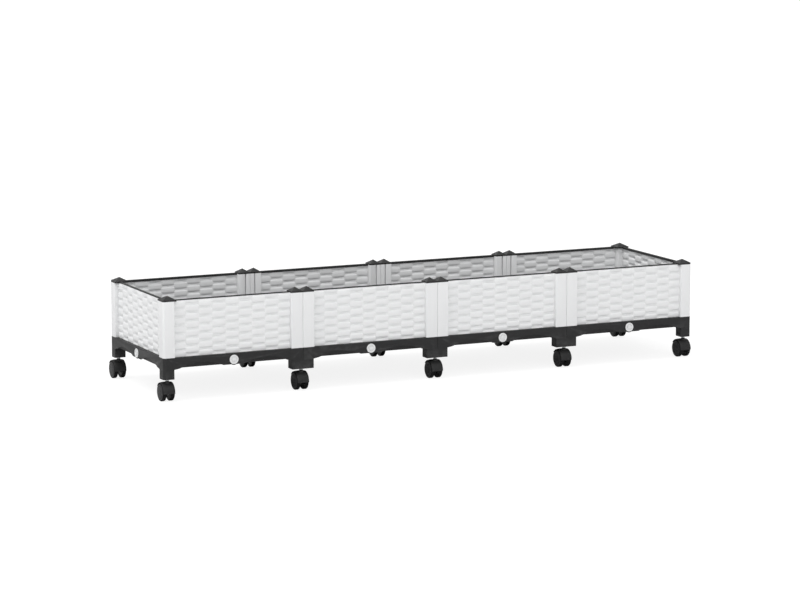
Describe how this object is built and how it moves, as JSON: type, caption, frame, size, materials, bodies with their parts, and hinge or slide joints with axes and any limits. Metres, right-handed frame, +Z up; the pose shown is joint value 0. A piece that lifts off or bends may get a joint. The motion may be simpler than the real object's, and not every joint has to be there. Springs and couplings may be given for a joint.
{
  "type": "rolling planter",
  "caption": "Long low planter trough: white basket-weave panels between posts, black drain trays below, on twin-wheel swivel casters.",
  "frame": {"origin": "on the floor, under the middle of the box around the whole planter, casters included", "axes": "+X along the row to the right, +Y to the back, +Z up; the drain plugs' long row faces -Y"},
  "size_m": [1.6052, 0.4204, 0.2815],
  "materials": {
    "white_plastic": "satin moulded plastic",
    "black_plastic": "satin moulded plastic",
    "pale_plastic": "satin moulded plastic",
    "wheel_plastic": "smooth nylon"
  },
  "bodies": {
    "planter": {"base_tray_1": "black_plastic", "base_tray_2": "black_plastic", "base_tray_3": "black_plastic", "base_tray_4": "black_plastic", "drain_floors": "black_plastic", "corner_posts": "white_plastic", "front_panel_1": "white_plastic", "front_panel_2": "white_plastic", "front_panel_3": "white_plastic", "front_panel_4": "white_plastic", "back_panel_1": "white_plastic", "back_panel_2": "white_plastic", "back_panel_3": "white_plastic", "back_panel_4": "white_plastic", "left_end_panel": "white_plastic", "right_end_panel": "white_plastic", "edge_strips": "black_plastic", "post_caps": "black_plastic", "caster_feet": "black_plastic", "caster_sleeves": "black_plastic"},
    "plug_front_1": {"drain_plug_front_1": "pale_plastic"},
    "plug_front_2": {"drain_plug_front_2": "pale_plastic"},
    "plug_front_3": {"drain_plug_front_3": "pale_plastic"},
    "plug_front_4": {"drain_plug_front_4": "pale_plastic"},
    "plug_back_1": {"drain_plug_back_1": "pale_plastic"},
    "plug_back_2": {"drain_plug_back_2": "pale_plastic"},
    "plug_back_3": {"drain_plug_back_3": "pale_plastic"},
    "plug_back_4": {"drain_plug_back_4": "pale_plastic"},
    "plug_left": {"drain_plug_left": "pale_plastic"},
    "plug_right": {"drain_plug_right": "pale_plastic"},
    "caster_front_1": {"caster_front_1_frame": "black_plastic"},
    "wheel_front_1_left": {"caster_front_1_wheel_left": "wheel_plastic"},
    "wheel_front_1_right": {"caster_front_1_wheel_right": "wheel_plastic"},
    "caster_front_2": {"caster_front_2_frame": "black_plastic"},
    "wheel_front_2_left": {"caster_front_2_wheel_left": "wheel_plastic"},
    "wheel_front_2_right": {"caster_front_2_wheel_right": "wheel_plastic"},
    "caster_front_3": {"caster_front_3_frame": "black_plastic"},
    "wheel_front_3_left": {"caster_front_3_wheel_left": "wheel_plastic"},
    "wheel_front_3_right": {"caster_front_3_wheel_right": "wheel_plastic"},
    "caster_front_4": {"caster_front_4_frame": "black_plastic"},
    "wheel_front_4_left": {"caster_front_4_wheel_left": "wheel_plastic"},
    "wheel_front_4_right": {"caster_front_4_wheel_right": "wheel_plastic"},
    "caster_front_5": {"caster_front_5_frame": "black_plastic"},
    "wheel_front_5_left": {"caster_front_5_wheel_left": "wheel_plastic"},
    "wheel_front_5_right": {"caster_front_5_wheel_right": "wheel_plastic"},
    "caster_back_1": {"caster_back_1_frame": "black_plastic"},
    "wheel_back_1_left": {"caster_back_1_wheel_left": "wheel_plastic"},
    "wheel_back_1_right": {"caster_back_1_wheel_right": "wheel_plastic"},
    "caster_back_2": {"caster_back_2_frame": "black_plastic"},
    "wheel_back_2_left": {"caster_back_2_wheel_left": "wheel_plastic"},
    "wheel_back_2_right": {"caster_back_2_wheel_right": "wheel_plastic"},
    "caster_back_3": {"caster_back_3_frame": "black_plastic"},
    "wheel_back_3_left": {"caster_back_3_wheel_left": "wheel_plastic"},
    "wheel_back_3_right": {"caster_back_3_wheel_right": "wheel_plastic"},
    "caster_back_4": {"caster_back_4_frame": "black_plastic"},
    "wheel_back_4_left": {"caster_back_4_wheel_left": "wheel_plastic"},
    "wheel_back_4_right": {"caster_back_4_wheel_right": "wheel_plastic"},
    "caster_back_5": {"caster_back_5_frame": "black_plastic"},
    "wheel_back_5_left": {"caster_back_5_wheel_left": "wheel_plastic"},
    "wheel_back_5_right": {"caster_back_5_wheel_right": "wheel_plastic"}
  },
  "joints": [
    {"name": "plug_front_1_pull", "type": "slide", "parent": "planter", "child": "plug_front_1", "axis": [0, -1, 0], "range_m": [0, 0.03]},
    {"name": "plug_front_2_pull", "type": "slide", "parent": "planter", "child": "plug_front_2", "axis": [0, -1, 0], "range_m": [0, 0.03]},
    {"name": "plug_front_3_pull", "type": "slide", "parent": "planter", "child": "plug_front_3", "axis": [0, -1, 0], "range_m": [0, 0.03]},
    {"name": "plug_front_4_pull", "type": "slide", "parent": "planter", "child": "plug_front_4", "axis": [0, -1, 0], "range_m": [0, 0.03]},
    {"name": "plug_back_1_pull", "type": "slide", "parent": "planter", "child": "plug_back_1", "axis": [0, 1, 0], "range_m": [0, 0.03]},
    {"name": "plug_back_2_pull", "type": "slide", "parent": "planter", "child": "plug_back_2", "axis": [0, 1, 0], "range_m": [0, 0.03]},
    {"name": "plug_back_3_pull", "type": "slide", "parent": "planter", "child": "plug_back_3", "axis": [0, 1, 0], "range_m": [0, 0.03]},
    {"name": "plug_back_4_pull", "type": "slide", "parent": "planter", "child": "plug_back_4", "axis": [0, 1, 0], "range_m": [0, 0.03]},
    {"name": "plug_left_pull", "type": "slide", "parent": "planter", "child": "plug_left", "axis": [-1, 0, 0], "range_m": [0, 0.03]},
    {"name": "plug_right_pull", "type": "slide", "parent": "planter", "child": "plug_right", "axis": [1, 0, 0], "range_m": [0, 0.03]},
    {"name": "caster_front_1_swivel", "type": "hinge", "parent": "planter", "child": "caster_front_1", "pos_m": [-0.7843, -0.19225, 0.06], "axis": [0, 0, 1], "continuous": true},
    {"name": "wheel_front_1_left_spin", "type": "hinge", "parent": "caster_front_1", "child": "wheel_front_1_left", "pos_m": [-0.7843, -0.18275, 0.024], "axis": [1, 0, 0], "continuous": true},
    {"name": "wheel_front_1_right_spin", "type": "hinge", "parent": "caster_front_1", "child": "wheel_front_1_right", "pos_m": [-0.7843, -0.18275, 0.024], "axis": [1, 0, 0], "continuous": true},
    {"name": "caster_front_2_swivel", "type": "hinge", "parent": "planter", "child": "caster_front_2", "pos_m": [-0.4, -0.19225, 0.06], "axis": [0, 0, 1], "continuous": true},
    {"name": "wheel_front_2_left_spin", "type": "hinge", "parent": "caster_front_2", "child": "wheel_front_2_left", "pos_m": [-0.4, -0.18275, 0.024], "axis": [1, 0, 0], "continuous": true},
    {"name": "wheel_front_2_right_spin", "type": "hinge", "parent": "caster_front_2", "child": "wheel_front_2_right", "pos_m": [-0.4, -0.18275, 0.024], "axis": [1, 0, 0], "continuous": true},
    {"name": "caster_front_3_swivel", "type": "hinge", "parent": "planter", "child": "caster_front_3", "pos_m": [0, -0.19225, 0.06], "axis": [0, 0, 1], "continuous": true},
    {"name": "wheel_front_3_left_spin", "type": "hinge", "parent": "caster_front_3", "child": "wheel_front_3_left", "pos_m": [0, -0.18275, 0.024], "axis": [1, 0, 0], "continuous": true},
    {"name": "wheel_front_3_right_spin", "type": "hinge", "parent": "caster_front_3", "child": "wheel_front_3_right", "pos_m": [0, -0.18275, 0.024], "axis": [1, 0, 0], "continuous": true},
    {"name": "caster_front_4_swivel", "type": "hinge", "parent": "planter", "child": "caster_front_4", "pos_m": [0.4, -0.19225, 0.06], "axis": [0, 0, 1], "continuous": true},
    {"name": "wheel_front_4_left_spin", "type": "hinge", "parent": "caster_front_4", "child": "wheel_front_4_left", "pos_m": [0.4, -0.18275, 0.024], "axis": [1, 0, 0], "continuous": true},
    {"name": "wheel_front_4_right_spin", "type": "hinge", "parent": "caster_front_4", "child": "wheel_front_4_right", "pos_m": [0.4, -0.18275, 0.024], "axis": [1, 0, 0], "continuous": true},
    {"name": "caster_front_5_swivel", "type": "hinge", "parent": "planter", "child": "caster_front_5", "pos_m": [0.7843, -0.19225, 0.06], "axis": [0, 0, 1], "continuous": true},
    {"name": "wheel_front_5_left_spin", "type": "hinge", "parent": "caster_front_5", "child": "wheel_front_5_left", "pos_m": [0.7843, -0.18275, 0.024], "axis": [1, 0, 0], "continuous": true},
    {"name": "wheel_front_5_right_spin", "type": "hinge", "parent": "caster_front_5", "child": "wheel_front_5_right", "pos_m": [0.7843, -0.18275, 0.024], "axis": [1, 0, 0], "continuous": true},
    {"name": "caster_back_1_swivel", "type": "hinge", "parent": "planter", "child": "caster_back_1", "pos_m": [-0.7843, 0.17675, 0.06], "axis": [0, 0, 1], "continuous": true},
    {"name": "wheel_back_1_left_spin", "type": "hinge", "parent": "caster_back_1", "child": "wheel_back_1_left", "pos_m": [-0.7843, 0.18625, 0.024], "axis": [1, 0, 0], "continuous": true},
    {"name": "wheel_back_1_right_spin", "type": "hinge", "parent": "caster_back_1", "child": "wheel_back_1_right", "pos_m": [-0.7843, 0.18625, 0.024], "axis": [1, 0, 0], "continuous": true},
    {"name": "caster_back_2_swivel", "type": "hinge", "parent": "planter", "child": "caster_back_2", "pos_m": [-0.4, 0.17675, 0.06], "axis": [0, 0, 1], "continuous": true},
    {"name": "wheel_back_2_left_spin", "type": "hinge", "parent": "caster_back_2", "child": "wheel_back_2_left", "pos_m": [-0.4, 0.18625, 0.024], "axis": [1, 0, 0], "continuous": true},
    {"name": "wheel_back_2_right_spin", "type": "hinge", "parent": "caster_back_2", "child": "wheel_back_2_right", "pos_m": [-0.4, 0.18625, 0.024], "axis": [1, 0, 0], "continuous": true},
    {"name": "caster_back_3_swivel", "type": "hinge", "parent": "planter", "child": "caster_back_3", "pos_m": [0, 0.17675, 0.06], "axis": [0, 0, 1], "continuous": true},
    {"name": "wheel_back_3_left_spin", "type": "hinge", "parent": "caster_back_3", "child": "wheel_back_3_left", "pos_m": [0, 0.18625, 0.024], "axis": [1, 0, 0], "continuous": true},
    {"name": "wheel_back_3_right_spin", "type": "hinge", "parent": "caster_back_3", "child": "wheel_back_3_right", "pos_m": [0, 0.18625, 0.024], "axis": [1, 0, 0], "continuous": true},
    {"name": "caster_back_4_swivel", "type": "hinge", "parent": "planter", "child": "caster_back_4", "pos_m": [0.4, 0.17675, 0.06], "axis": [0, 0, 1], "continuous": true},
    {"name": "wheel_back_4_left_spin", "type": "hinge", "parent": "caster_back_4", "child": "wheel_back_4_left", "pos_m": [0.4, 0.18625, 0.024], "axis": [1, 0, 0], "continuous": true},
    {"name": "wheel_back_4_right_spin", "type": "hinge", "parent": "caster_back_4", "child": "wheel_back_4_right", "pos_m": [0.4, 0.18625, 0.024], "axis": [1, 0, 0], "continuous": true},
    {"name": "caster_back_5_swivel", "type": "hinge", "parent": "planter", "child": "caster_back_5", "pos_m": [0.7843, 0.17675, 0.06], "axis": [0, 0, 1], "continuous": true},
    {"name": "wheel_back_5_left_spin", "type": "hinge", "parent": "caster_back_5", "child": "wheel_back_5_left", "pos_m": [0.7843, 0.18625, 0.024], "axis": [1, 0, 0], "continuous": true},
    {"name": "wheel_back_5_right_spin", "type": "hinge", "parent": "caster_back_5", "child": "wheel_back_5_right", "pos_m": [0.7843, 0.18625, 0.024], "axis": [1, 0, 0], "continuous": true}
  ]
}
